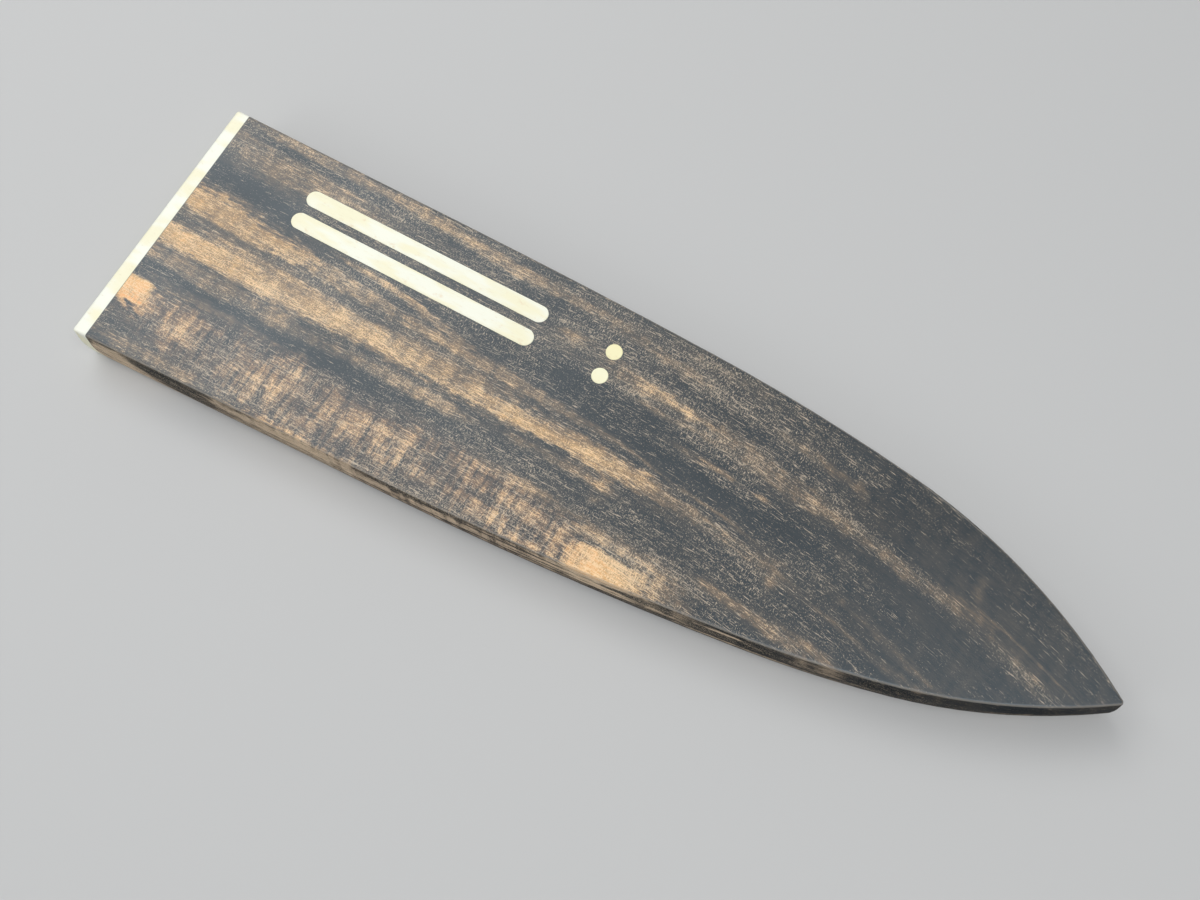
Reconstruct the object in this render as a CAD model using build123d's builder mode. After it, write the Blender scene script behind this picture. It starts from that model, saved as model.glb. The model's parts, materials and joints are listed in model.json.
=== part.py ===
"""A wooden guard for the blade of a kitchen knife.

Two dark slabs are routed out on their inner faces and glued together, so that they hold a flat blade
space between them. A pale cap closes the end grain round the blade slot. Two pale bars and two pale dots
are let into the top face, and four disc magnets in the walls of the blade space hold the blade.

The mouth of the guard faces -X, its point faces +X, the blade's spine lies at -Y and its cutting edge
at +Y. The origin is under the middle of the guard, on the surface that the guard rests on. Lengths are
in millimetres.
"""

import os
from math import cos, radians, tan

from build123d import *

# Outside of the guard
point_length = 228.0
mouth_width = 64.0
thickness = 12.0
spine_taper = 2.97
point_radius = 1.2

# Where the outline bends: along the length from the mouth, and across the width from the middle
edge_side_shares = [(0.272, 0.5), (0.546, 0.485), (0.758, 0.418)]
spine_straight_share = 0.355
spine_side_shares = [(0.699, -0.315), (0.829, -0.22)]
point_share = 0.07

# Sides of the guard: upright on both sides of the glue line, then leaning in to the faces
upright_height = 1.5
side_lean = 6.5
shoulder_radius = 15.0
top_arris_radius = 0.6
bottom_arris_radius = 1.1

# Blade space
side_wall = 6.0
rout_depth = 2.2
cutter_radius = 3.0

# Mouth cap
cap_thickness = 3.6
cap_arris_radius = 0.7
slot_lead_in = 0.4

# Bars and dots let into the top face
bar_length = 62.5
bar_width = 4.0
bar_depth = 1.6
bar_start = 27.2
row_inset = 11.275
row_spacing = 6.15
dot_diameter = 3.6
dot_depth = 2.0
dot_distance = 106.2
inlay_clearance = 0.06

# Magnets in the walls of the blade space
magnet_diameter = 6.0
magnet_thickness = 1.5
magnet_clearance = 0.1
magnet_distances = {"rear": 32.0, "front": 78.0}
magnet_inset = 9.0

# How far a cut or a blank runs past what it has to clear
overrun = 5.0

# Heights of the glue line and of the blade space's floor and roof
glue_line = thickness / 2
space_floor = glue_line - rout_depth
space_roof = glue_line + rout_depth


def outline(mouth_x):
    """The widest outline with a sharp point, from a mouth at mouth_x; the guard's own mouth is at zero."""
    half_width = mouth_width / 2
    rise = tan(radians(spine_taper))
    point = (point_length, point_share * mouth_width)
    edge_bends = [(along * point_length, across * mouth_width) for along, across in edge_side_shares]
    straight_length = spine_straight_share * point_length
    spine_bend = (straight_length, straight_length * rise - half_width)
    spine_bends = [(along * point_length, across * mouth_width) for along, across in spine_side_shares]
    mouth_edge = (mouth_x, half_width)
    mouth_spine = (mouth_x, mouth_x * rise - half_width)
    with BuildSketch() as face:
        with BuildLine():
            belly = Line(mouth_edge, edge_bends[0])
            for bend in [*edge_bends[1:], point]:
                belly = TangentArc(belly @ 1, bend, tangent=belly % 1)
            back = Line(mouth_spine, spine_bend)
            for bend in [*spine_bends, point]:
                back = TangentArc(back @ 1, bend, tangent=back % 1)
            Line(mouth_edge, mouth_spine)
        make_face()
    return face.sketch


# The outline runs past the mouth, where the finished body is cut square
with BuildSketch() as body_outline:
    add(outline(-overrun))
    fillet(body_outline.vertices().sort_by(Axis.X)[-1], radius=point_radius)

# The blade space follows the outline, a wall's width inside it, and runs out through the mouth
with BuildSketch() as blade_outline:
    add(outline(-side_wall - overrun))
    offset(amount=-side_wall, kind=Kind.INTERSECTION, mode=Mode.REPLACE)
    fillet(blade_outline.vertices().sort_by(Axis.X)[-1], radius=cutter_radius)

# The floor that the guard rests on, seen from under the middle of its mouth
overall_length = body_outline.sketch.bounding_box().max.X
ground = Plane(origin=(-overall_length / 2, 0, 0))
mouth_face = Plane(origin=ground.origin, x_dir=(0, 1, 0), z_dir=(1, 0, 0))
cap_joint = mouth_face.offset(cap_thickness)

# The outside of the glued guard before it is parted into its pieces
with BuildPart() as blank:
    with BuildSketch(ground):
        add(body_outline.sketch)
    extrude(amount=thickness)
    lean_height = glue_line - upright_height
    lean_inset = lean_height * tan(radians(side_lean))
    for end in (-1, 0):
        face = blank.faces().sort_by(Axis.Z)[end]
        chamfer(face.edges(), length=lean_inset, length2=lean_height, reference=face)
    fillet(blank.faces().sort_by(Axis.Z)[-1].edges(), radius=top_arris_radius)
    fillet(blank.faces().sort_by(Axis.Z)[0].edges(), radius=bottom_arris_radius)
    shoulder_reach = upright_height + lean_height / 2
    level_edges = blank.edges().filter_by(Plane.XY)
    shoulders = level_edges.filter_by(lambda edge: abs(edge.center().Z - glue_line) < shoulder_reach)
    fillet(shoulders, radius=shoulder_radius)
    split(bisect_by=mouth_face, keep=Keep.TOP)

# Places of the bars, dots and magnets, measured from under the middle of the mouth; the rows of bars and
# dots keep their distance from the edge side
edge_side_row = mouth_width / 2 - row_inset
rows = {"edge_side": edge_side_row, "spine_side": edge_side_row - row_spacing}
bar_centres = {row: (bar_start + bar_length / 2, across) for row, across in rows.items()}
dot_centres = {row: (dot_distance, across) for row, across in rows.items()}
magnet_centres = {}
for place, along in magnet_distances.items():
    spine_wall = along * tan(radians(spine_taper)) - mouth_width / 2 + side_wall / cos(radians(spine_taper))
    magnet_centres[place] = (along, spine_wall + magnet_inset)

with BuildPart() as top_half:
    add(blank.part)
    split(bisect_by=ground.offset(glue_line), keep=Keep.TOP)
    split(bisect_by=cap_joint, keep=Keep.TOP)
    with BuildSketch(ground.offset(glue_line)):
        add(blade_outline.sketch)
    extrude(amount=rout_depth, mode=Mode.SUBTRACT)
    with BuildSketch(ground.offset(thickness)):
        with Locations(*bar_centres.values()):
            SlotOverall(bar_length + 2 * inlay_clearance, bar_width + 2 * inlay_clearance)
    extrude(amount=-bar_depth, mode=Mode.SUBTRACT)
    with BuildSketch(ground.offset(thickness)):
        with Locations(*dot_centres.values()):
            Circle(dot_diameter / 2 + inlay_clearance)
    extrude(amount=-dot_depth, mode=Mode.SUBTRACT)
    with BuildSketch(ground.offset(space_roof)):
        with Locations(*magnet_centres.values()):
            Circle(magnet_diameter / 2 + magnet_clearance)
    extrude(amount=magnet_thickness, mode=Mode.SUBTRACT)

with BuildPart() as bottom_half:
    add(blank.part)
    split(bisect_by=ground.offset(glue_line), keep=Keep.BOTTOM)
    split(bisect_by=cap_joint, keep=Keep.TOP)
    with BuildSketch(ground.offset(space_floor)):
        add(blade_outline.sketch)
    extrude(amount=rout_depth, mode=Mode.SUBTRACT)
    with BuildSketch(ground.offset(space_floor)):
        with Locations(*magnet_centres.values()):
            Circle(magnet_diameter / 2 + magnet_clearance)
    extrude(amount=-magnet_thickness, mode=Mode.SUBTRACT)

with BuildPart() as mouth_cap:
    add(blank.part)
    split(bisect_by=cap_joint, keep=Keep.BOTTOM)
    fillet(mouth_cap.faces().sort_by(Axis.X)[0].edges(), radius=cap_arris_radius)
    with BuildSketch(ground.offset(space_floor)):
        add(blade_outline.sketch)
    extrude(amount=space_roof - space_floor, mode=Mode.SUBTRACT)
    chamfer(mouth_cap.faces().sort_by(Axis.X)[0].inner_wires()[0].edges(), length=slot_lead_in)


def bar(centre):
    """One bar with half-round ends, standing on the floor of its pocket and flush with the top face."""
    with BuildPart() as piece:
        with BuildSketch(ground.offset(thickness - bar_depth)):
            with Locations(centre):
                SlotOverall(bar_length, bar_width)
        extrude(amount=bar_depth)
    return piece.part


def dot(centre):
    """One round plug, flush with the top face."""
    with BuildPart() as piece:
        with BuildSketch(ground.offset(thickness - dot_depth)):
            with Locations(centre):
                Circle(dot_diameter / 2)
        extrude(amount=dot_depth)
    return piece.part


def magnet(centre, base):
    """One disc magnet, from its lower face at the height base."""
    with BuildPart() as piece:
        with BuildSketch(ground.offset(base)):
            with Locations(centre):
                Circle(magnet_diameter / 2)
        extrude(amount=magnet_thickness)
    return piece.part


pieces = {"top_half": top_half.part, "bottom_half": bottom_half.part, "mouth_cap": mouth_cap.part}
for row in rows:
    pieces[f"{row}_bar"] = bar(bar_centres[row])
    pieces[f"{row}_dot"] = dot(dot_centres[row])
for place, centre in magnet_centres.items():
    pieces[f"top_{place}_magnet"] = magnet(centre, space_roof)
    pieces[f"bottom_{place}_magnet"] = magnet(centre, space_floor - magnet_thickness)

os.makedirs("parts", exist_ok=True)
for name, piece in pieces.items():
    piece.label = name
    export_step(piece, f"parts/{name}.step")
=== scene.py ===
import json
from math import radians

import bpy
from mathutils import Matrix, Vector


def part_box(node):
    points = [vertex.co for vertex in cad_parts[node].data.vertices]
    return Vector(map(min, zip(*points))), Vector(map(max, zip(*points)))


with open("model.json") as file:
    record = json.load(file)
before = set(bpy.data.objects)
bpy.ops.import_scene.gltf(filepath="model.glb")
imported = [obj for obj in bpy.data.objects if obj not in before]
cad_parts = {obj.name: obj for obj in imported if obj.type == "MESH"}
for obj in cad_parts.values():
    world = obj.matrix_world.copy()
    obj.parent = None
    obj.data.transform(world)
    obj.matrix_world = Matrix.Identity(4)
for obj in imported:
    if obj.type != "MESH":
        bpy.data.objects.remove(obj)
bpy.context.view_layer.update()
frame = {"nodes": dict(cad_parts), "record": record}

# Lengths below are in millimetres, in the guard's own frame: +X to the point, +Y to the cutting-edge
# side, +Z up.
MILLIMETRE = 0.001
PER_METRE = 1000.0

# The picture that the camera takes, and the camera's place and its turn in degrees
PICTURE_WIDTH = 1200
FOCAL_PIXELS = 1269.0
SENSOR_WIDTH = 36.0
CAMERA_PLACE = (53.0, -67.7, 259.1)
CAMERA_TURN = (18.94, 2.60, 29.92)

# Sizes of the guard that the finishes follow
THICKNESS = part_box("top_half")[1].z * PER_METRE
GLUE_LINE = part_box("top_half")[0].z * PER_METRE
CAP_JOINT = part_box("mouth_cap")[1].x * PER_METRE

# The room between the bars and the dots, along the guard, and between the two rows, across it
BARS_TO_DOTS = (-19.0, -13.0)
BETWEEN_ROWS = (16.0, 19.0)

# The dark lines of glue: at the first distance from the joint still dark, at the second gone
SLAB_GLUE_EDGES = (0.03, 0.10)
CAP_GLUE_EDGES = (0.04, 0.16)

# How the grain runs: straight from the mouth, then falling away towards the spine side
BEND_START = -3.0
GRAIN_BEND = 0.00167
LAYER_TILT = 1.7

# How deep the figure of a flat face reaches, and where the curly stretch of the spine side lies
FACE_TONE_DEPTH = 2.4 * GLUE_LINE
CURL_CENTRE = (-50.0, -20.5, THICKNESS)
CURL_REACH = (66.0, 9.0, 40.0)

# How tone becomes the colour of the dark wood, from nearly black to orange
WOOD_TONES = [
    (0.0, (0.008, 0.011, 0.014)),
    (0.15, (0.018, 0.022, 0.026)),
    (0.31, (0.062, 0.053, 0.044)),
    (0.46, (0.155, 0.108, 0.070)),
    (0.62, (0.262, 0.164, 0.083)),
    (0.78, (0.405, 0.240, 0.101)),
    (0.92, (0.630, 0.350, 0.122)),
    (1.0, (0.790, 0.415, 0.134)),
]

# Other colours of the dark wood, and the tint of the light that its oiled surface throws back
CURL_TINT = (1.06, 0.95, 0.93)
COOL_SPECK = (0.68, 0.55, 0.40)
WARM_SPECK = (0.95, 0.67, 0.38)
GREY_SIDE = (0.76, 0.63, 0.48)
GREY_SIDE_PORES = (0.42, 0.33, 0.24)
# The paler colour of the arrises: a painted highlight along the edges, with a little rub
ARRIS_HIGHLIGHT_AND_RUB = (0.34, 0.31, 0.27)
DARK_GLUE = (0.006, 0.005, 0.004)
OILED_SHEEN = (0.82, 0.93, 1.0)

# Colours of the pale woods and of the magnets
CREAM = (0.91, 0.915, 0.80)
STRAW = (0.90, 0.86, 0.63)
PALE_FLECK = (0.70, 0.58, 0.36)
INLAY_TINGE = (0.92, 0.89, 0.60)
SPINE_SIDE_DOT = (0.93, 0.90, 0.62)
EDGE_SIDE_DOT = (0.93, 0.86, 0.50)
INLAY_MOTTLE = (0.76, 0.60, 0.36)
PLATING_TONES = [
    (0.3, (0.58, 0.56, 0.52)),
    (0.7, (0.68, 0.67, 0.64)),
]

# The floor: its reach in metres, how far it lies below the guard, the length of the rays that it
# lets through, and its colour
FLOOR_REACH = 3.0
FLOOR_DROP = 0.05
FREE_RAY = 0.3
FLOOR_GREY = (0.56, 0.56, 0.555)

# The light from all round, and the lamps: name, place, the point it faces, width and depth, watts.
# These lengths are in metres.
STUDIO_COLOUR = (0.92, 0.96, 1.0)
STUDIO_STRENGTH = 0.33
SOFTBOXES = [
    ("mouth_end_softbox", (-0.54, 0.20, 0.70), (-0.44, 0.17, 0.0), (0.80, 0.62), 4.1),
    ("overhead_softbox", (0.27, -0.13, 0.80), (0.06, 0.0, 0.0), (0.50, 0.34), 3.0),
    ("front_fill", (-0.50, -0.80, 0.60), (-0.04, 0.0, 0.006), (0.5, 0.5), 0.9),
]

# The Mix node's sockets for numbers and for colours: the factor, the first and the second
NUMBER_SOCKETS = (0, 2, 3)
COLOUR_SOCKETS = (0, 6, 7)

# How far a seed moves a noise along, across and up
SEED_STEPS = (1.0, 1.7, 2.3)

# Tones laid on the top face, one over another: along, across, half length, half width, turn in
# degrees, tone, softness of the edge
TOP_TONES = [
    # The point, a little paler
    (84, 1, 44, 20, 0, 0.21, 1.0),
    # Edge side, from the mouth to the dots
    (-99, 24.6, 16, 5.2, -3, 0.39, 1.0),
    (-97, 22.6, 10, 1.6, -3, 0.44, 0.85),
    (-79, 24.4, 14, 2.0, -2, 0.48, 0.85),
    (-82, 29.6, 28, 1.7, -1, 0.45, 0.7),
    (-84, 27.3, 24, 1.0, -3, 0.13, 0.6),
    (-55, 26.6, 22, 1.3, -3, 0.13, 0.6),
    (-98, 19.2, 8, 0.9, 0, 0.38, 0.85),
    (-93, 17.2, 7, 0.7, -6, 0.28, 0.85),
    (-53, 29.0, 20, 1.6, -2.5, 0.49, 0.6),
    (-55, 24.2, 18, 1.0, -1, 0.24, 0.85),
    (-55, 17.8, 32, 1.1, 0, 0.26, 0.85),
    (-33, 27.6, 11, 1.4, -2, 0.46, 0.7),
    (-18, 27.2, 9, 1.1, -1, 0.40, 0.85),
    (-8, 26.6, 8, 1.5, -3, 0.40, 0.85),
    (-20, 29.8, 20, 0.8, -1, 0.18, 0.7),
    (7, 24.5, 9, 1.3, -4, 0.43, 0.7),
    (12, 28.2, 16, 1.6, 0, 0.29, 1.0),
    (-17, 19.6, 3.4, 1.5, 0, 0.48, 0.85),
    (-19, 17.3, 8, 0.9, 0, 0.30, 1.0),
    (-12, 15.6, 9, 0.8, 0, 0.29, 1.0),
    (-5, 18.4, 9, 1.4, -3, 0.35, 0.85),
    # Dark wood between the bars and the broad band
    (-98, 14.5, 14, 3.4, -2, 0.12, 0.7),
    (-50, 11.6, 40, 1.5, 0, 0.21, 0.85),
    (2, 9.6, 40, 3.0, -2, 0.09, 0.85),
    (20, 5.4, 24, 2.0, 0, 0.12, 0.85),
    # Upper lobe of the broad band
    (-102, 8.0, 12, 3.3, -3, 0.66, 0.85),
    (-105, 8.2, 6, 2.2, 0, 0.80, 1.0),
    (-101, 6.2, 3.2, 1.8, 0, 0.68, 0.85),
    (-91, 6.6, 10, 2.8, 0, 0.64, 0.85),
    (-80.5, 7.0, 6.6, 2.1, -2, 0.72, 0.7),
    (-64, 6.2, 12, 2.4, 0, 0.50, 0.85),
    (-42, 5.6, 15, 1.3, 0, 0.50, 0.7),
    (-28, 4.8, 14, 1.6, -1, 0.48, 0.7),
    (-12, 4.3, 13, 1.2, -4, 0.42, 0.7),
    (-59, 8.3, 11, 0.9, -5, 0.16, 0.5),
    (-56, 9.9, 13.5, 0.8, -5.5, 0.55, 0.5),
    (-44, 8.0, 8, 0.7, -5, 0.44, 0.7),
    # The broad band
    (-85, 0.2, 28, 3.2, 0, 0.52, 0.5),
    (-40, 0.6, 26, 2.6, 0, 0.47, 0.7),
    (-86, -2.4, 27, 2.6, -0.5, 0.66, 0.35),
    (-104, -2.3, 11, 2.3, -2, 0.87, 0.7),
    (-88, -3.3, 13, 1.6, -2, 0.73, 0.6),
    (-74, -1.6, 8, 2.8, 0, 0.59, 0.85),
    (-64, -1.9, 9, 2.2, 0, 0.60, 0.85),
    (-49, -1.8, 12, 2.2, 0, 0.66, 0.6),
    (-32, -2.1, 9, 2.1, 0, 0.59, 0.7),
    (-19, -2.2, 10, 2.0, 1, 0.61, 0.7),
    (-10, -2.1, 8, 1.1, 1, 0.86, 0.7),
    (-3, -0.8, 10, 1.9, 0, 0.61, 0.85),
    (3, -1.7, 9, 2.1, 0, 0.74, 0.7),
    (13, -1.7, 8, 1.7, -2, 0.60, 0.85),
    (22, -2.3, 7, 1.3, -2, 0.44, 0.85),
    (31, -2.5, 8, 0.6, 0, 0.42, 0.85),
    (34, -4.1, 6, 0.6, -4, 0.39, 0.85),
    (9, 2.6, 10, 0.4, -6, 0.40, 0.85),
    (27, 0.4, 9, 0.4, -2, 0.42, 0.85),
    # Dark lines in it
    (-103, 4.2, 9, 0.9, -1, 0.33, 0.85),
    (-88, 3.1, 12, 0.8, -2, 0.36, 0.85),
    (-60, 2.6, 11, 0.8, -1, 0.20, 0.85),
    (-35, 3.1, 9, 0.6, 0, 0.30, 0.85),
    # Under the band
    (-99, -7.5, 14, 2.4, -1, 0.46, 0.7),
    (-87, -7.0, 10, 1.8, 0, 0.40, 1.0),
    (-76, -7.6, 5, 2.2, 0, 0.48, 0.85),
    (-66, -8.0, 6, 1.4, 0, 0.38, 1.0),
    (-47, -6.8, 14, 1.8, 0, 0.42, 0.7),
    (-34, -7.1, 7.5, 1.7, 0, 0.47, 0.6),
    (-8, -5.8, 10, 1.1, 2, 0.39, 1.0),
    (0, -7.0, 6, 1.8, 0, 0.43, 1.0),
    (4.8, -7.4, 1.8, 2.6, 0, 0.60, 0.85),
    (17, -5.0, 5, 0.6, 0, 0.30, 0.85),
    (-103, -10.3, 9, 0.7, -2, 0.13, 0.7),
    (-87, -11.2, 13, 0.8, -1, 0.12, 0.7),
    (-72, -11.2, 9, 0.8, 3, 0.14, 0.7),
    (-60, -10.0, 10, 1.1, 4, 0.13, 0.7),
    (-48, -11.0, 14, 2.0, 1, 0.13, 0.7),
    (-30, -10.0, 16, 1.3, -1, 0.15, 0.85),
    (-86, -13.0, 18, 1.1, -1, 0.38, 0.7),
    (-36, -11.9, 6, 0.7, 0, 0.34, 0.85),
    (-10, -8.8, 20, 1.2, 2, 0.13, 0.7),
    (-5, -11.8, 24, 1.2, 0, 0.16, 0.85),
    # Curly stretch along the spine side
    (-68, -20.6, 41, 6.8, 0, 0.455, 0.3),
    (-16, -19.2, 24, 6.2, 1, 0.46, 0.5),
    (-97, -17.6, 7, 2.6, 0, 0.58, 0.85),
    (-84, -15.2, 9, 0.9, 0, 0.28, 0.7),
    (-93, -21.4, 3.2, 4.4, 0, 0.60, 1.0),
    (-87, -24.4, 5, 2.4, 0, 0.34, 1.0),
    (-81.5, -21.0, 3.2, 5.4, 0, 0.36, 1.0),
    (-73, -19.0, 4, 3.4, 0, 0.57, 1.0),
    (-66, -19.6, 2.6, 5.4, 0, 0.64, 0.85),
    (-59.5, -20.4, 2.4, 4.2, 0, 0.35, 1.0),
    (-54.6, -19.6, 2.0, 4.4, 0, 0.63, 0.85),
    (-44, -19.0, 6, 2.0, 0, 0.62, 1.0),
    (-42, -25.4, 5, 1.2, 0, 0.32, 1.0),
    (-37, -23.4, 4, 1.0, 0, 0.56, 0.85),
    (-34, -17.4, 5, 3.0, 0, 0.54, 1.0),
    (-24, -20.2, 3.4, 3.4, 0, 0.36, 1.1),
    (-13, -14.4, 9, 1.2, 2, 0.56, 0.7),
    (-13, -16.5, 10, 0.7, -1, 0.34, 0.85),
    (-9, -18.2, 10, 1.4, -2, 0.60, 0.7),
    (-14, -20.5, 9, 0.7, -4, 0.34, 0.85),
    (-12, -22.8, 9, 1.8, 2, 0.58, 0.7),
    (-2, -23.8, 5, 0.9, 3, 0.82, 0.7),
    (2, -20.6, 2.8, 3.0, 0, 0.56, 0.85),
    (4.9, -21.6, 0.8, 2.6, 0, 0.28, 1.0),
    (-92, -28.3, 20, 1.5, 0, 0.42, 0.7),
    (-53, -28.0, 12, 0.9, 1, 0.62, 0.85),
    (-30, -26.3, 16, 1.0, 3, 0.40, 0.85),
    (10, -15.8, 7, 1.8, 0, 0.48, 0.85),
    (21, -15.8, 8, 1.4, 0, 0.40, 0.85),
    (24, -18.8, 7, 2.4, 0, 0.52, 1.0),
    (27, -20.8, 8, 0.8, 2, 0.42, 0.85),
    (44, -15.6, 14, 1.2, 0, 0.44, 0.7),
    (58, -16.0, 12, 1.2, 2, 0.42, 0.7),
    (75, -12.0, 8, 0.9, 5, 0.38, 0.85),
    # Broken streaks past the dots
    (2, 16.6, 7, 1.7, 0, 0.44, 0.85),
    (11.5, 16.6, 8, 1.1, -2, 0.60, 1.0),
    (22, 15.9, 2.6, 1.7, 0, 0.52, 0.85),
    (28.5, 15.0, 5, 1.8, 0, 0.40, 1.0),
    (9, 13.5, 6, 0.7, 0, 0.38, 0.85),
    (19, 13.3, 5, 0.8, 0, 0.38, 0.85),
    (35, 12.6, 8, 2.1, 0, 0.40, 1.0),
    (48, 11.3, 10, 1.5, 0, 0.47, 0.85),
    (62, 8.7, 8, 1.4, 0, 0.39, 0.85),
    (75.5, 6.8, 5, 1.6, 0, 0.38, 0.85),
    (82, 5.9, 5, 1.4, 0, 0.35, 0.85),
    (93, 0.9, 8, 2.2, 0, 0.34, 1.0),
    (97, -0.8, 2.8, 1.2, 0, 0.45, 1.0),
    (94, 4.0, 11, 0.35, 0, 0.36, 0.85),
    (16, 8.6, 5, 0.9, 0, 0.36, 0.85),
    (25, 8.0, 5, 0.8, 0, 0.44, 0.85),
    (35, 7.3, 2.2, 0.7, 0, 0.50, 0.85),
    (38, 20.8, 6, 0.8, 0, 0.38, 0.85),
    (46, 19.4, 5, 0.9, 0, 0.42, 0.85),
    (51, 18.7, 1.7, 1.2, 0, 0.40, 0.85),
    (80.5, 11.4, 1.4, 2.2, 0, 0.34, 1.1),
    # Faint streaks near the spine side of the point
    (42, -4.6, 6, 1.4, 0, 0.36, 1.0),
    (44.4, -6.4, 1.4, 3.0, 0, 0.42, 1.1),
    (60, -8.6, 9, 0.6, 0, 0.38, 0.85),
    (75, -9.0, 8, 0.6, 0, 0.34, 0.85),
    (58.3, -3.7, 0.9, 0.5, 0, 0.52, 1.0),
    (66, -5.6, 12, 0.6, 0, 0.28, 1.0),
]

# Two patches with blunt ends: the orange one by the mouth and the golden one at mid-length
TOP_PATCHES = [
    (-107.4, -17.2, 4.6, 3.1, 0, 1.0, 0.45),
    (-104.6, -20.6, 3.4, 0.8, 0, 0.60, 0.6),
    (12.8, -22.0, 7.4, 3.3, 1, 1.0, 0.40),
]

# Streaks that break up the right side of the golden patch
PATCH_STREAKS = [
    (17.5, -19.4, 5.0, 0.6, -2, 0.64, 1.0),
    (21.0, -21.6, 3.8, 1.6, 0, 0.68, 1.1),
    (10.0, -20.9, 4.0, 0.35, -3, 0.82, 1.0),
]

# Where the pale specks crowd on the top face: as the tones, with how much in place of the tone
SPECK_CROWDS = [
    (-96, 14, 18, 6, 0, -0.04, 1.0),
    (-50, 27, 60, 4.5, 0, 0.02, 1.0),
    (22, 22, 36, 9, 0, 0.015, 1.0),
    (34, 12.5, 34, 4.5, 0, 0.03, 1.0),
    (44, -6, 30, 3, 0, 0.02, 1.0),
    (-30, -21, 40, 7, 0, 0.02, 1.0),
    (12, -19, 18, 6, 0, 0.04, 1.0),
    (86, 2, 34, 18, 0, -0.085, 1.0),
    (94, 0.4, 8, 1.6, 0, 0.02, 1.0),
    (66, 8.0, 18, 2.0, -2, 0.015, 1.0),
    (20, 5, 30, 2.5, 0, -0.035, 1.0),
    (-2, 9.6, 34, 2.4, -2, 0.0, 1.0),
    (-76, -11.2, 28, 1.8, 0, -0.04, 1.0),
]

# The knot beside the orange patch: a short dark curve between bright edges
KNOT = [
    (-106.6, -20.8, 1.6, 0.6, -14, 0.80, 1.0),
    (-106.2, -20.3, 1.1, 0.30, -10, 0.02, 0.85),
    (-103.6, -21.8, 2.2, 0.4, -20, 0.16, 1.0),
]

# Tones on the spine side's upright face: along, across, height, half length, half width, half height,
# tone, softness of the edge
TOP_SIDE_TONES = [
    (-102, -31.4, 7.8, 9, 3, 2.8, 0.74, 1.0),
    (-91, -30.8, 9.2, 8.6, 3, 2.0, 0.08, 0.6),
    (-57, -29.2, 8.6, 20, 3, 2.8, 0.68, 0.85),
    (-58, -29.2, 7.2, 17, 3, 0.4, 0.34, 0.85),
    (-40, -27.8, 8.4, 8, 3, 2.6, 0.56, 1.0),
    (-26, -27.2, 7.8, 13, 3, 1.6, 0.70, 0.85),
    (-27, -27.2, 10.9, 11, 3, 1.0, 0.02, 0.6),
    (-2, -25.4, 8.6, 15, 3, 2.4, 0.66, 0.85),
    (-4, -25.4, 9.6, 12, 3, 0.35, 0.10, 0.85),
    (2, -25.2, 7.6, 10, 3, 0.3, 0.08, 0.85),
    (21, -23.4, 9.6, 9, 3, 1.0, 0.12, 0.85),
    (22, -23.4, 7.4, 10, 3, 0.8, 0.44, 0.85),
    (44, -20.4, 8.4, 16, 3, 3.2, 0.03, 0.5),
    (41, -21.0, 9.8, 7, 3, 0.6, 0.60, 0.85),
    (74, -14.4, 8.4, 24, 4, 3.2, 0.03, 0.5),
    (100, -5.0, 8.4, 18, 6, 3.2, 0.03, 0.5),
]
UNDER_SIDE_TONES = [
    (-100, -31.0, 3.2, 14, 4, 2.8, 0.78, 0.85),
    (-84, -31.0, 4.2, 10, 4, 1.6, 0.12, 0.85),
    (-57, -29.2, 3.6, 19, 4, 2.6, 0.70, 0.85),
    (-55, -29.2, 2.6, 16, 4, 0.35, 0.16, 0.85),
    (-60, -29.2, 4.6, 14, 4, 0.3, 0.16, 0.85),
    (-28, -27.2, 3.6, 10, 4, 1.8, 0.50, 0.85),
    (-4, -25.6, 3.8, 15, 4, 1.9, 0.52, 0.85),
    (0, -25.4, 2.4, 12, 4, 0.4, 0.14, 0.85),
    (20, -23.4, 3.6, 11, 4, 1.6, 0.22, 0.85),
    (41, -20.8, 4.0, 12, 4, 0.8, 0.58, 0.7),
    (54, -18.8, 3.4, 10, 4, 1.2, 0.48, 0.85),
    (82, -12.2, 3.4, 16, 6, 2.4, 0.04, 0.7),
    (97, -6.4, 2.8, 12, 6, 0.35, 0.40, 0.85),
]

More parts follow.
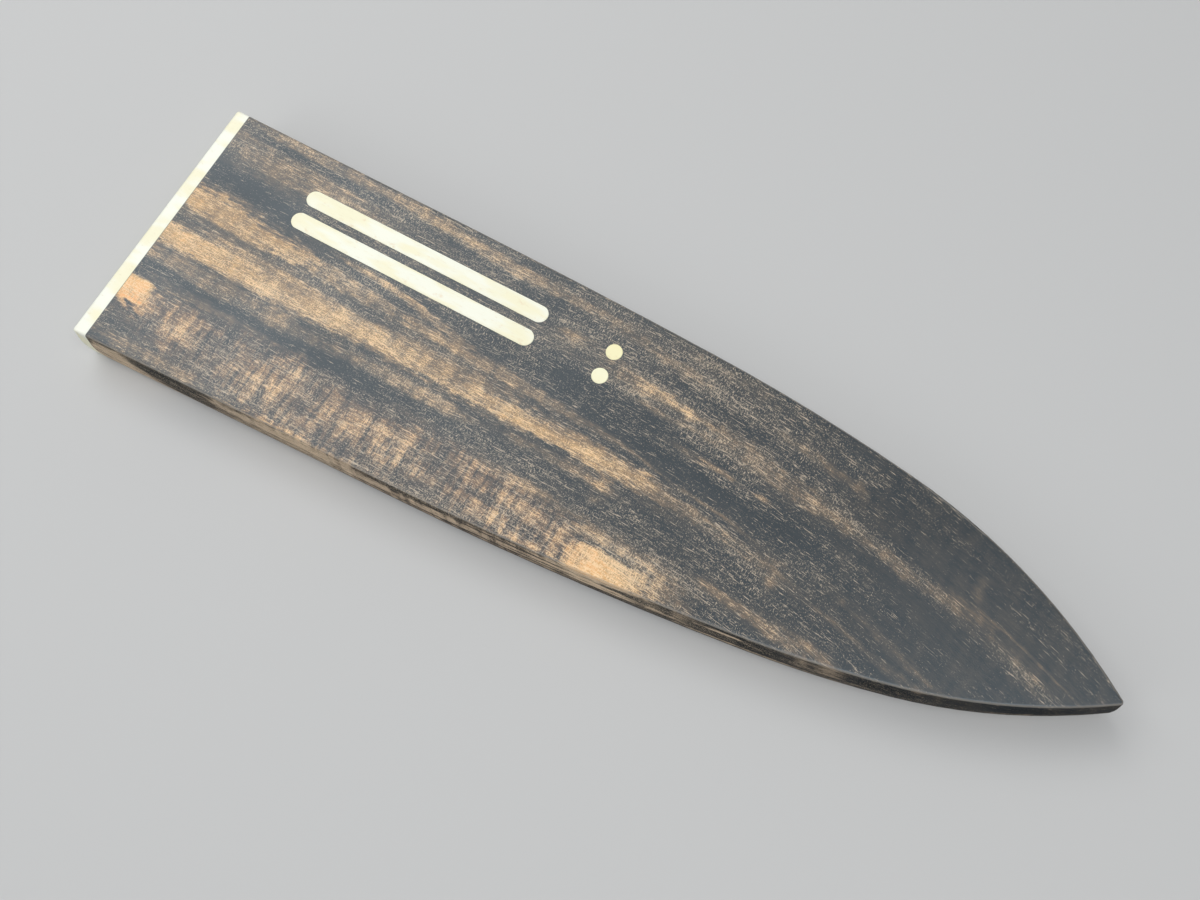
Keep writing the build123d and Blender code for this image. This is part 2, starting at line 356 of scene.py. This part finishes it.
# Tones laid on the underside
UNDER_TONES = [
    (-92, 17.0, 34, 4.0, -1, 0.46, 0.85),
    (-100, 15.8, 16, 1.6, -2, 0.60, 0.85),
    (-70, 18.6, 22, 1.2, -2, 0.24, 0.85),
    (-36, 18.4, 26, 2.4, 1, 0.40, 0.85),
    (-28, 20.0, 14, 0.8, 0, 0.54, 0.85),
    (-60, 3.6, 54, 3.0, 0, 0.42, 0.85),
    (-88, 2.6, 20, 1.8, -1, 0.66, 0.85),
    (-52, 3.8, 13, 1.4, 1, 0.58, 0.85),
    (-14, 4.4, 18, 1.4, 0, 0.50, 0.85),
    (14, 2.6, 14, 1.0, -1, 0.44, 0.85),
    (-70, 0.6, 18, 0.7, 0, 0.16, 0.85),
    (-60, -9.6, 46, 2.4, 1, 0.18, 0.85),
    (-84, -15.4, 26, 2.2, 0, 0.34, 0.85),
    (-70, -23.2, 44, 5.0, 2, 0.44, 0.5),
    (-94, -24.0, 12, 3.0, 0, 0.54, 0.85),
    (-44, -22.4, 13, 2.6, 3, 0.56, 0.85),
    (-18, -19.4, 14, 3.4, 0, 0.40, 0.85),
    (8, -19.2, 9, 2.2, 2, 0.72, 0.7),
    (28, -14.6, 14, 1.4, 0, 0.40, 0.85),
    (52, -13.8, 16, 1.2, 2, 0.42, 0.85),
    (-10, 11.2, 40, 2.4, -1, 0.14, 0.85),
    (24, 14.6, 16, 1.6, -1, 0.46, 0.85),
    (30, 9.4, 9, 0.8, 0, 0.38, 0.85),
    (50, 10.4, 12, 1.5, 0, 0.44, 0.85),
    (72, 4.4, 14, 1.2, 0, 0.36, 0.85),
    (90, -1.4, 9, 1.2, 0, 0.50, 0.85),
    (-6, 26.0, 30, 1.6, -1, 0.38, 0.85),
    (-84, 27.6, 26, 2.0, -1, 0.36, 0.85),
]


def grain_bend(along):
    """How far the grain has fallen towards the spine side at this place along the guard."""
    return GRAIN_BEND * max(along - BEND_START, 0.0) ** 2


# Small words for building trees of nodes
def add_node(tree, kind, inputs=None, **settings):
    """Adds a node; each of its inputs is a value or the socket that feeds it."""
    made = tree.nodes.new(kind)
    for name, value in settings.items():
        setattr(made, name, value)
    for key, value in (inputs or {}).items():
        if isinstance(value, bpy.types.NodeSocket):
            tree.links.new(value, made.inputs[key])
        else:
            made.inputs[key].default_value = value
    return made


def calculate(tree, operation, first, second=0.0, third=0.0):
    """One sum of up to three numbers."""
    inputs = {0: first, 1: second, 2: third}
    return add_node(tree, "ShaderNodeMath", inputs, operation=operation).outputs[0]


def calculate_vector(tree, operation, first, second):
    """One sum of two vectors."""
    inputs = {0: first, 1: second}
    return add_node(tree, "ShaderNodeVectorMath", inputs, operation=operation).outputs[0]


def distance_in_sizes(tree, point, centre, size, blunt=False):
    """How far a point is from the centre of an ellipse, or of a patch with blunt ends; its edge is at one."""
    local = calculate_vector(tree, "SUBTRACT", point, centre)
    local = calculate_vector(tree, "DIVIDE", local, size)
    if blunt:
        local = calculate_vector(tree, "MULTIPLY", local, local)
    return add_node(tree, "ShaderNodeVectorMath", {0: local}, operation="LENGTH").outputs["Value"]


def ramp_up(tree, value, low, high, to_low=0.0, to_high=1.0):
    """A smooth step from to_low, where the value is at low, to to_high, where it is at high."""
    inputs = {"Value": value, "From Min": low, "From Max": high, "To Min": to_low, "To Max": to_high}
    return add_node(tree, "ShaderNodeMapRange", inputs, interpolation_type="SMOOTHSTEP").outputs["Result"]


def stretched_noise(tree, point, size, seed, detail=2.0, roughness=0.5):
    """Noise whose features are about as long, wide and deep as size says."""
    inputs = {"Vector": point, "Scale": [1 / length for length in size]}
    inputs["Location"] = [seed * step for step in SEED_STEPS]
    placed = add_node(tree, "ShaderNodeMapping", inputs).outputs[0]
    inputs = {"Vector": placed, "Scale": 1.0, "Detail": detail, "Roughness": roughness}
    return add_node(tree, "ShaderNodeTexNoise", inputs).outputs["Fac"]


def signed(tree, value, amount):
    """Noise from zero to one, turned into minus to plus the amount."""
    return calculate(tree, "MULTIPLY_ADD", value, 2 * amount, -amount)


def total(tree, *values):
    """All the values added up."""
    result = values[0]
    for value in values[1:]:
        result = calculate(tree, "ADD", result, value)
    return result


def product(tree, *values):
    """All the values multiplied."""
    result = values[0]
    for value in values[1:]:
        result = calculate(tree, "MULTIPLY", result, value)
    return result


def mix_colours(tree, factor, first, second, blend="MIX"):
    """The first colour, and where the factor is one the second."""
    colours = []
    for colour in (first, second):
        linked = isinstance(colour, bpy.types.NodeSocket)
        colours.append(colour if linked else (*colour, 1.0))
    inputs = dict(zip(COLOUR_SOCKETS, (factor, *colours)))
    return add_node(tree, "ShaderNodeMix", inputs, data_type="RGBA", blend_type=blend).outputs[2]


def colour_ramp(tree, value, stops):
    """A colour for each value, through the stops (position, colour)."""
    made = add_node(tree, "ShaderNodeValToRGB", {"Fac": value})
    ramp = made.color_ramp
    while len(ramp.elements) < len(stops):
        ramp.elements.new(0.5)
    for element, (position, colour) in zip(ramp.elements, stops):
        element.position = position
        element.color = (*colour, 1.0)
    return made.outputs["Color"]


def new_material(name):
    """An empty material with its output node, its Principled shader and its tree."""
    material = bpy.data.materials.new(name)
    material.use_nodes = True
    tree = material.node_tree
    tree.nodes.clear()
    shader = add_node(tree, "ShaderNodeBsdfPrincipled")
    add_node(tree, "ShaderNodeOutputMaterial", {"Surface": shader.outputs[0]})
    return material, tree, shader


def in_millimetres(tree):
    """The place on the piece, in millimetres."""
    place = add_node(tree, "ShaderNodeTexCoord").outputs["Object"]
    inputs = {0: place, "Scale": PER_METRE}
    return add_node(tree, "ShaderNodeVectorMath", inputs, operation="SCALE").outputs[0]


def add_relief(tree, shader, height, strength, depth):
    """Fine relief in the surface, as deep in millimetres as depth says."""
    inputs = {"Height": height, "Strength": strength, "Distance": depth * MILLIMETRE}
    tree.links.new(add_node(tree, "ShaderNodeBump", inputs).outputs[0], shader.inputs["Normal"])


# Laying tones on the wood
def make_tone_group(name, blunt):
    """A group that lays one tone over the tone before it, in an ellipse or in a blunt-ended patch."""
    group = bpy.data.node_groups.new(name, "ShaderNodeTree")
    vectors = ("Point", "Place", "Size")
    numbers = ("Turn", "Sharpness", "Ragged", "Tone", "Before")
    for kind, names in (("Vector", vectors), ("Float", numbers)):
        for socket_name in names:
            group.interface.new_socket(socket_name, in_out="INPUT", socket_type=f"NodeSocket{kind}")
    group.interface.new_socket("After", in_out="OUTPUT", socket_type="NodeSocketFloat")
    given = add_node(group, "NodeGroupInput").outputs
    inputs = {"Vector": given["Point"], "Center": given["Place"], "Angle": given["Turn"]}
    turned = add_node(group, "ShaderNodeVectorRotate", inputs, rotation_type="Z_AXIS").outputs[0]
    distance = distance_in_sizes(group, turned, given["Place"], given["Size"], blunt)
    inward = calculate(group, "SUBTRACT", 1.0, distance)
    inside = calculate(group, "MULTIPLY_ADD", inward, given["Sharpness"], given["Ragged"])
    mask = ramp_up(group, inside, -1.0, 1.0)
    inputs = dict(zip(NUMBER_SOCKETS, (mask, given["Before"], given["Tone"])))
    mixed = add_node(group, "ShaderNodeMix", inputs, data_type="FLOAT").outputs[0]
    add_node(group, "NodeGroupOutput", {"After": mixed})
    return group


streak_group = make_tone_group("streak_of_tone", blunt=False)
patch_group = make_tone_group("patch_of_tone", blunt=True)


def lay_tone(tree, group, point, ragged, place, size, turn, tone, softness, before):
    """Lays one tone over the tone before it, round a place and as large as size says."""
    along, across, height = place
    inputs = {
        "Point": point,
        "Place": (along, across + grain_bend(along), height),
        "Turn": -radians(turn),
        "Size": size,
        "Sharpness": 1 / softness,
        "Ragged": ragged,
        "Tone": tone,
        "Before": before,
    }
    return add_node(tree, "ShaderNodeGroup", inputs, node_tree=group).outputs["After"]


def lay_face_tones(tree, group, point, ragged, rows, height, tone_before):
    """Lays the rows of tones of a flat face, which reach down through the slab."""
    for along, across, half_length, half_width, turn, tone, softness in rows:
        place = (along, across, height)
        size = (half_length, half_width, FACE_TONE_DEPTH)
        tone_before = lay_tone(tree, group, point, ragged, place, size, turn, tone, softness, tone_before)
    return tone_before


def lay_side_tones(tree, point, ragged, rows, tone_before):
    """Lays the rows of tones of an upright side face."""
    for along, across, height, half_length, half_width, half_height, tone, softness in rows:
        place = (along, across, height)
        size = (half_length, half_width, half_height)
        tone_before = lay_tone(tree, streak_group, point, ragged, place, size, 0, tone, softness, tone_before)
    return tone_before


def moved_sideways(tree, split, across):
    """The place that was split into its measures, with another measure across."""
    inputs = {"X": split["X"], "Y": across, "Z": split["Z"]}
    return add_node(tree, "ShaderNodeCombineXYZ", inputs).outputs[0]


def grain_space(tree, point):
    """The place in the straightened block, and the same place sheared so that its layers lie level."""
    split = add_node(tree, "ShaderNodeSeparateXYZ", {0: point}).outputs
    past = calculate(tree, "MAXIMUM", calculate(tree, "SUBTRACT", split["X"], BEND_START), 0.0)
    across = total(tree, split["Y"], product(tree, past, past, GRAIN_BEND))
    straight = moved_sideways(tree, split, across)
    layered = calculate(tree, "MULTIPLY_ADD", split["Z"], LAYER_TILT, across)
    return straight, moved_sideways(tree, split, layered)


def sway(tree, straight, layers, seed):
    """The straightened place, wandering a little so that no edge runs true."""
    slip = signed(tree, stretched_noise(tree, layers, (14.0, 2.2, 8.0), seed + 3.0), 1.4)
    slow = signed(tree, stretched_noise(tree, layers, (34.0, 9.0, 12.0), seed + 5.0, detail=1.0), 1.0)
    quick = signed(tree, stretched_noise(tree, layers, (7.0, 2.0, 6.0), seed + 7.0), 0.5)
    shift = add_node(tree, "ShaderNodeCombineXYZ", {"X": slip, "Y": total(tree, slow, quick)}).outputs[0]
    return calculate_vector(tree, "ADD", straight, shift)


def make_dark_wood(name, seed, base, lay_tones, crowds):
    """Near-black wood with brown figure, curl, pale specks and a satin oiled surface."""
    material, tree, shader = new_material(name)
    point = in_millimetres(tree)
    straight, layers = grain_space(tree, point)
    place = sway(tree, straight, layers, seed)

    # The figure, its edges broken up along the fibres
    broad = signed(tree, stretched_noise(tree, layers, (60.0, 5.0, 12.0), seed), 0.10)
    fibres = stretched_noise(tree, layers, (4.0, 0.5, 2.0), seed + 9.0, detail=3.0, roughness=0.6)
    fibres = signed(tree, fibres, 0.9)
    dabs = signed(tree, stretched_noise(tree, layers, (2.0, 0.8, 1.6), seed + 10.0), 0.7)
    tone = lay_tones(tree, place, total(tree, fibres, dabs), total(tree, broad, base))

    # Streaks of two sizes and a ripple across the grain, stronger where the wood is brown
    middle = signed(tree, stretched_noise(tree, layers, (15.0, 1.1, 4.0), seed + 11.0, detail=3.0), 0.20)
    fine = stretched_noise(tree, layers, (2.0, 0.30, 1.2), seed + 13.0, detail=4.0, roughness=0.75)
    fine = signed(tree, fine, 0.34)
    ripple = signed(tree, stretched_noise(tree, straight, (2.4, 7.0, 9.0), seed + 15.0), 0.22)
    lively = ramp_up(tree, tone, 0.05, 0.6, 0.30, 1.0)
    tone = calculate(tree, "MULTIPLY_ADD", total(tree, middle, fine, ripple), lively, tone)

    # Curl: dark bars across the brown grain of the spine side
    curly = ramp_up(tree, distance_in_sizes(tree, place, CURL_CENTRE, CURL_REACH), 1.05, 0.8)
    narrow = ramp_up(tree, stretched_noise(tree, straight, (1.2, 9.0, 9.0), seed + 19.0), 0.47, 0.62)
    wide = ramp_up(tree, stretched_noise(tree, straight, (3.6, 12.0, 9.0), seed + 21.0), 0.45, 0.60)
    bars = calculate(tree, "MULTIPLY_ADD", wide, 0.6, narrow)
    dark_bars = product(tree, bars, curly, ramp_up(tree, tone, 0.15, 0.45))
    tone = calculate(tree, "MULTIPLY_ADD", dark_bars, -0.17, tone)

    colour = colour_ramp(tree, tone, WOOD_TONES)
    redder = mix_colours(tree, 1.0, colour, CURL_TINT, blend="MULTIPLY")
    colour = mix_colours(tree, curly, colour, redder)

    # Pale specks: short dashes along the grain, dust in the pores and ticks across the grain
    dash = stretched_noise(tree, layers, (2.4, 0.22, 0.9), seed + 23.0, roughness=0.6)
    grit = stretched_noise(tree, layers, (0.38, 0.28, 0.4), seed + 27.0, roughness=0.7)
    tick = stretched_noise(tree, layers, (0.24, 0.80, 0.7), seed + 33.0, roughness=0.6)
    crowd = signed(tree, stretched_noise(tree, layers, (18.0, 3.0, 6.0), seed + 31.0), 0.09)
    crowd = calculate(tree, "MULTIPLY_ADD", ramp_up(tree, tone, 0.3, 0.7), 0.08, crowd)
    placed = lay_face_tones(tree, streak_group, straight, 0.0, crowds, THICKNESS, 0.0)
    crowd = total(tree, crowd, placed)
    region = signed(tree, stretched_noise(tree, layers, (12.0, 6.0, 6.0), seed + 35.0), 0.16)
    dashes = ramp_up(tree, total(tree, dash, crowd), 0.57, 0.74)
    grits = ramp_up(tree, total(tree, grit, crowd), 0.56, 0.75)
    ticks = ramp_up(tree, total(tree, tick, crowd, placed, region), 0.59, 0.77)
    specks = calculate(tree, "MAXIMUM", calculate(tree, "MAXIMUM", dashes, grits), ticks)
    warmth = ramp_up(tree, tone, 0.25, 0.7)
    speck_colour = mix_colours(tree, warmth, COOL_SPECK, WARM_SPECK)
    shown = product(tree, specks, calculate(tree, "MULTIPLY_ADD", warmth, 0.08, 0.76))
    colour = mix_colours(tree, shown, colour, speck_colour)

    # The upright sides are greyer, and the arrises are painted paler: a painted highlight along the edges,
    # with a little rub
    normal = add_node(tree, "ShaderNodeTexCoord").outputs["Normal"]
    upward = add_node(tree, "ShaderNodeSeparateXYZ", {0: normal}).outputs["Z"]
    facing = calculate(tree, "ABSOLUTE", upward)
    greyer = product(tree, ramp_up(tree, facing, 0.5, 0.25), ramp_up(tree, tone, 0.25, 0.6), 0.75)
    side_grain = mix_colours(tree, ramp_up(tree, dash, 0.38, 0.58), GREY_SIDE_PORES, GREY_SIDE)
    colour = mix_colours(tree, greyer, colour, side_grain)
    # Painted highlight: the arrises are painted paler, as if they caught the light, with a little rub
    arris_highlight_and_rub = product(tree, ramp_up(tree, facing, 0.35, 0.6), ramp_up(tree, facing, 0.99, 0.9), 0.45)
    colour = mix_colours(tree, arris_highlight_and_rub, colour, ARRIS_HIGHLIGHT_AND_RUB)

    # The thin dark glue line between the two slabs
    height = add_node(tree, "ShaderNodeSeparateXYZ", {0: point}).outputs["Z"]
    away = calculate(tree, "ABSOLUTE", calculate(tree, "SUBTRACT", height, GLUE_LINE))
    dark, gone = SLAB_GLUE_EDGES
    colour = mix_colours(tree, ramp_up(tree, away, gone, dark, 0.0, 0.85), colour, DARK_GLUE)
    tree.links.new(colour, shader.inputs["Base Color"])

    # The surface: satin, duller on the sides, with the pores a little open
    rub = stretched_noise(tree, point, (22.0, 18.0, 10.0), seed + 29.0, detail=3.0)
    satin = calculate(tree, "MULTIPLY_ADD", specks, 0.10, ramp_up(tree, rub, 0.3, 0.7, 0.36, 0.44))
    satin = calculate(tree, "ADD", satin, ramp_up(tree, facing, 0.8, 0.3, 0.0, 0.32))
    tree.links.new(satin, shader.inputs["Roughness"])
    relief = calculate(tree, "MULTIPLY_ADD", dash, 0.6, grit)
    add_relief(tree, shader, relief, 0.25, 0.12)
    tree.links.new(ramp_up(tree, facing, 0.3, 0.8, 0.10, 0.83), shader.inputs["Specular IOR Level"])
    shader.inputs["Specular Tint"].default_value = (*OILED_SHEEN, 1.0)
    return material


def lay_top_tones(tree, point, ragged, tone):
    """The figure of the top slab."""
    tone = lay_face_tones(tree, streak_group, point, ragged, TOP_TONES, THICKNESS, tone)
    calm = calculate(tree, "MULTIPLY", ragged, 0.4)
    tone = lay_face_tones(tree, patch_group, point, calm, TOP_PATCHES, THICKNESS, tone)
    tone = lay_face_tones(tree, streak_group, point, ragged, PATCH_STREAKS + KNOT, THICKNESS, tone)
    return lay_side_tones(tree, point, ragged, TOP_SIDE_TONES, tone)


def lay_under_tones(tree, point, ragged, tone):
    """The figure of the bottom slab."""
    tone = lay_face_tones(tree, streak_group, point, ragged, UNDER_TONES, 0.0, tone)
    return lay_side_tones(tree, point, ragged, UNDER_SIDE_TONES, tone)


def make_pale_wood(name, grain_size, seed):
    """Creamy close-grained wood, with the faintest flecks and bands."""
    material, tree, shader = new_material(name)
    point = in_millimetres(tree)
    bands = stretched_noise(tree, point, grain_size, seed)
    fleck_size = [length / 7 for length in grain_size]
    flecks = stretched_noise(tree, point, fleck_size, seed + 2.0, roughness=0.6)
    warm = ramp_up(tree, bands, 0.38, 0.62)
    colour = mix_colours(tree, warm, CREAM, STRAW)
    colour = mix_colours(tree, ramp_up(tree, flecks, 0.6, 0.75, 0.0, 0.22), colour, PALE_FLECK)
    return material, tree, shader, point, colour, flecks


def finish_pale_wood(tree, shader, colour, flecks):
    """The satin surface that the pale woods share."""
    tree.links.new(colour, shader.inputs["Base Color"])
    tree.links.new(ramp_up(tree, flecks, 0.3, 0.7, 0.38, 0.5), shader.inputs["Roughness"])
    add_relief(tree, shader, flecks, 0.2, 0.06)


def make_cap_wood():
    """The cap's wood, its grain across the mouth, with the dark line of glue behind it."""
    material, tree, shader, point, colour, flecks = make_pale_wood("pale_cap_wood", (9.0, 3.8, 9.0), 4.0)
    along = add_node(tree, "ShaderNodeSeparateXYZ", {0: point}).outputs["X"]
    dark, gone = CAP_GLUE_EDGES
    glue = ramp_up(tree, along, CAP_JOINT - gone, CAP_JOINT - dark, 0.0, 0.9)
    colour = mix_colours(tree, glue, colour, DARK_GLUE)
    finish_pale_wood(tree, shader, colour, flecks)
    return material


def make_inlay_wood():
    """The bars' and dots' wood, its grain along the guard; the dots are a little yellower."""
    material, tree, shader, point, colour, flecks = make_pale_wood("pale_inlay_wood", (11.0, 3.0, 3.0), 9.0)
    along = add_node(tree, "ShaderNodeSeparateXYZ", {0: point}).outputs["X"]
    across = add_node(tree, "ShaderNodeSeparateXYZ", {0: point}).outputs["Y"]
    edge_row = ramp_up(tree, across, *BETWEEN_ROWS)
    dot_colour = mix_colours(tree, edge_row, SPINE_SIDE_DOT, EDGE_SIDE_DOT)
    colour = mix_colours(tree, 0.12, colour, INLAY_TINGE)
    colour = mix_colours(tree, ramp_up(tree, along, *BARS_TO_DOTS, 0.0, 0.85), colour, dot_colour)
    mottle = stretched_noise(tree, point, (3.0, 2.0, 2.0), 14.0, detail=3.0, roughness=0.6)
    colour = mix_colours(tree, ramp_up(tree, mottle, 0.59, 0.80, 0.0, 0.7), colour, INLAY_MOTTLE)
    finish_pale_wood(tree, shader, colour, flecks)
    return material


def make_plating():
    """Bright nickel plating on the magnets."""
    material, tree, shader = new_material("magnet_plating")
    point = in_millimetres(tree)
    haze = stretched_noise(tree, point, (0.8, 0.8, 0.8), 1.0, detail=3.0)
    colour = colour_ramp(tree, haze, PLATING_TONES)
    tree.links.new(colour, shader.inputs["Base Color"])
    tree.links.new(ramp_up(tree, haze, 0.3, 0.7, 0.18, 0.32), shader.inputs["Roughness"])
    shader.inputs["Metallic"].default_value = 1.0
    return material


finishes = {
    "dark_wood": make_dark_wood("dark_wood", 0.0, 0.17, lay_top_tones, SPECK_CROWDS),
    "dark_wood_under": make_dark_wood("dark_wood_under", 41.0, 0.18, lay_under_tones, []),
    "pale_cap_wood": make_cap_wood(),
    "pale_inlay_wood": make_inlay_wood(),
    "magnet_plating": make_plating(),
}
for subpart in frame["record"]["subparts"]:
    piece = frame["nodes"][subpart["node"]]
    for slot in piece.material_slots:
        slot.material = finishes[subpart["material_slot"]]


# The floor, the light and the camera
def make_floor():
    """A plain pale floor, far larger than the view."""
    corners = [(-1, -1, 0), (1, -1, 0), (1, 1, 0), (-1, 1, 0)]
    corners = [[FLOOR_REACH * measure for measure in corner] for corner in corners]
    mesh = bpy.data.meshes.new("floor")
    mesh.from_pydata(corners, [], [(0, 1, 2, 3)])
    floor = bpy.data.objects.new("floor", mesh)
    floor.location.z = -FLOOR_DROP * MILLIMETRE
    bpy.context.scene.collection.objects.link(floor)
    material, tree, shader = new_material("floor_paint")
    # Seen from below it isn't there, and rays from the underside, which lies close above it, pass
    from_below = add_node(tree, "ShaderNodeNewGeometry").outputs["Backfacing"]
    from_above = calculate(tree, "SUBTRACT", 1.0, from_below)
    reach_of_ray = add_node(tree, "ShaderNodeLightPath").outputs["Ray Length"]
    from_afar = calculate(tree, "GREATER_THAN", reach_of_ray, FREE_RAY * MILLIMETRE)
    tree.links.new(product(tree, from_above, from_afar), shader.inputs["Alpha"])
    shader.inputs["Base Color"].default_value = (*FLOOR_GREY, 1.0)
    shader.inputs["Roughness"].default_value = 0.8
    shader.inputs["Specular IOR Level"].default_value = 0.2
    mesh.materials.append(material)


def make_softbox(name, place, aim, size, watts):
    """A soft rectangular lamp that faces a point."""
    lamp = bpy.data.lights.new(name, "AREA")
    lamp.shape = "RECTANGLE"
    lamp.size, lamp.size_y = size
    lamp.energy = watts
    holder = bpy.data.objects.new(name, lamp)
    holder.location = place
    holder.rotation_euler = (Vector(aim) - Vector(place)).to_track_quat("-Z", "Y").to_euler()
    holder.visible_camera = False
    bpy.context.scene.collection.objects.link(holder)


make_floor()
for softbox in SOFTBOXES:
    make_softbox(*softbox)

world = bpy.data.worlds.new("studio")
world.use_nodes = True
background = world.node_tree.nodes["Background"]
background.inputs["Color"].default_value = (*STUDIO_COLOUR, 1.0)
background.inputs["Strength"].default_value = STUDIO_STRENGTH
bpy.context.scene.world = world

camera = bpy.data.cameras.new("camera")
camera.sensor_width = SENSOR_WIDTH
camera.sensor_fit = "HORIZONTAL"
camera.lens = FOCAL_PIXELS / PICTURE_WIDTH * SENSOR_WIDTH
camera.clip_start = 0.01
viewer = bpy.data.objects.new("camera", camera)
viewer.location = [length * MILLIMETRE for length in CAMERA_PLACE]
viewer.rotation_euler = [radians(angle) for angle in CAMERA_TURN]
bpy.context.scene.collection.objects.link(viewer)
bpy.context.scene.camera = viewer
bpy.context.scene.view_settings.view_transform = "Standard"
